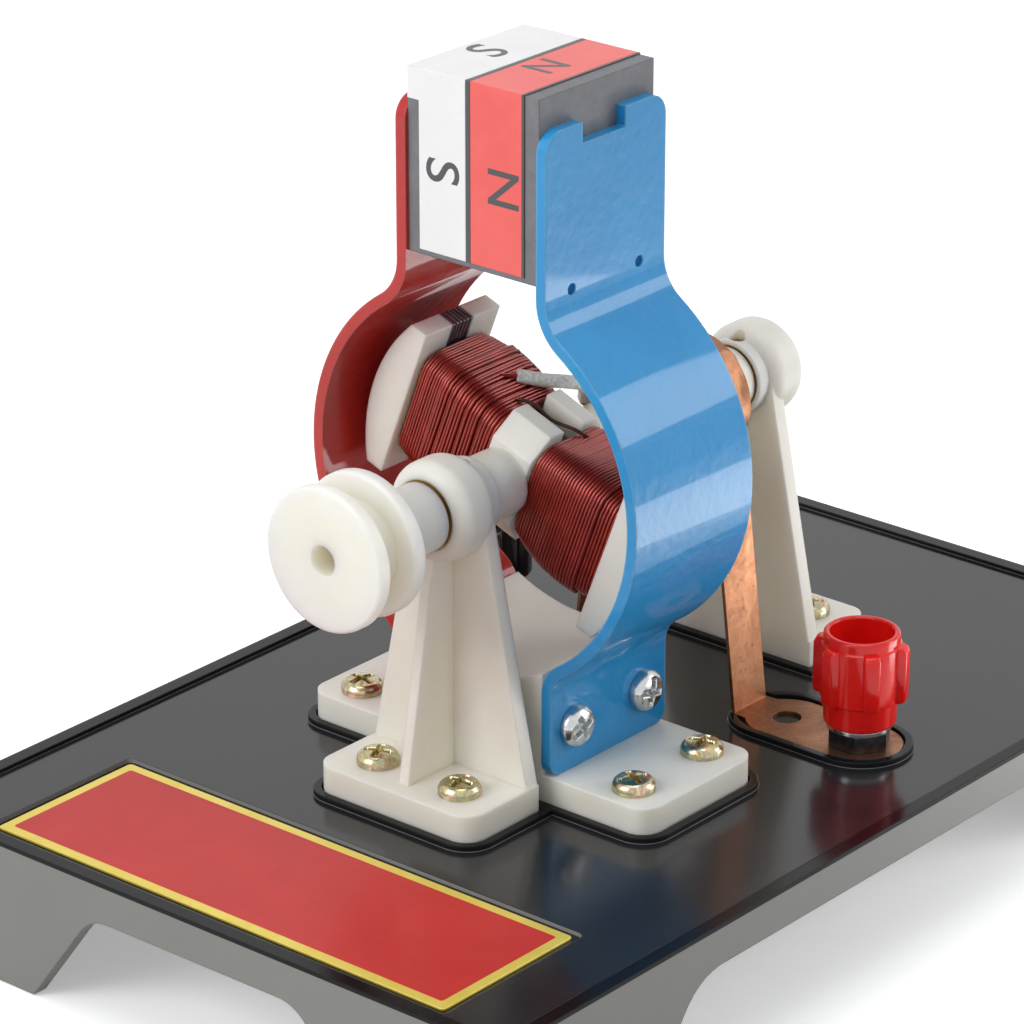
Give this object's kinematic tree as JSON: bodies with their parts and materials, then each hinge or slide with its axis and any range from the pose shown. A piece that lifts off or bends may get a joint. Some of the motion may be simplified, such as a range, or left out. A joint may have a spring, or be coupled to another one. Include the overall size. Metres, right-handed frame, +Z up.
{
  "type": "demonstration electric motor",
  "caption": "Small school-laboratory motor model: bar magnet over bent steel poles, wound rotor with pulley and commutator, copper brushes and binding posts on a moulded base.",
  "frame": {"origin": "underside of the base, at the middle of its plan", "axes": "+Z up; +Y along the shaft from the pulley towards the commutator; +X towards the blue pole piece and the red binding post"},
  "size_m": [0.103, 0.16, 0.1171],
  "materials": {
    "black_plastic": "glossy black moulding",
    "label_metal": "red print on foil",
    "white_nylon": "smooth ivory moulding",
    "bush_brass": "turned",
    "blue_paint": "glossy enamel on steel strip",
    "red_paint": "glossy enamel on steel strip",
    "ferrite": "ground dark ferrite",
    "magnet_print": "printed gloss label",
    "steel": "plain turned steel",
    "pulley_nylon": "cream moulding",
    "core_steel": "dark stamped sheets",
    "magnet_wire": "red enamelled copper wire",
    "copper": "tarnished copper strip",
    "sleeve": "clear wire sleeve",
    "zinc": "yellow zinc plating",
    "nickel": "bright nickel plating",
    "dark_steel": "blackened steel",
    "stud_brass": "threaded stud",
    "red_plastic": "glossy red moulding",
    "black_knob_plastic": "glossy black moulding"
  },
  "bodies": {
    "stand": {"base": "black_plastic", "label_plate": "label_metal", "front_bracket": "white_nylon", "rear_bracket": "white_nylon", "front_bush": "bush_brass", "rear_bush": "bush_brass", "pole_holder": "white_nylon", "blue_pole": "blue_paint", "red_pole": "red_paint", "magnet": "ferrite", "magnet_label": "magnet_print", "red_side_brush": "copper", "black_side_brush": "copper", "foot_screws": "zinc", "pole_screws": "nickel", "terminal_studs": "stud_brass", "terminal_nuts": "dark_steel", "under_nuts": "steel"},
    "rotor": {"shaft": "steel", "pulley": "pulley_nylon", "rotor_frame_front": "white_nylon", "rotor_frame_rear": "white_nylon", "rotor_core": "core_steel", "coil_a": "magnet_wire", "coil_b": "magnet_wire", "commutator_sleeve": "white_nylon", "commutator_segment_a": "copper", "commutator_segment_b": "copper", "coil_lead_a": "sleeve", "coil_lead_b": "sleeve"},
    "red_lift": {"red_washer": "steel"},
    "red_turn": {"red_knob": "red_plastic"},
    "black_lift": {"black_washer": "steel"},
    "black_turn": {"black_knob": "black_knob_plastic"}
  },
  "joints": [
    {"name": "rotor_spin", "type": "hinge", "parent": "stand", "child": "rotor", "pos_m": [0, -0.0122, 0.0611], "axis": [0, 1, 0], "continuous": true},
    {"name": "red_knob_rise", "type": "slide", "parent": "stand", "child": "red_lift", "axis": [0, 0, 1], "range_m": [0, 0.0025]},
    {"name": "red_knob_turn", "type": "hinge", "parent": "red_lift", "child": "red_turn", "pos_m": [0.033, 0.0162, 0.03], "axis": [0, 0, 1], "range_deg": [0, 1286]},
    {"name": "black_knob_rise", "type": "slide", "parent": "stand", "child": "black_lift", "axis": [0, 0, 1], "range_m": [0, 0.0025]},
    {"name": "black_knob_turn", "type": "hinge", "parent": "black_lift", "child": "black_turn", "pos_m": [-0.033, 0.0162, 0.03], "axis": [0, 0, 1], "range_deg": [0, 1286]}
  ],
  "couplings": [
    {"joint": "red_knob_turn", "follows": "red_knob_rise", "rad_per_m": 8976},
    {"joint": "black_knob_turn", "follows": "black_knob_rise", "rad_per_m": 8976}
  ]
}
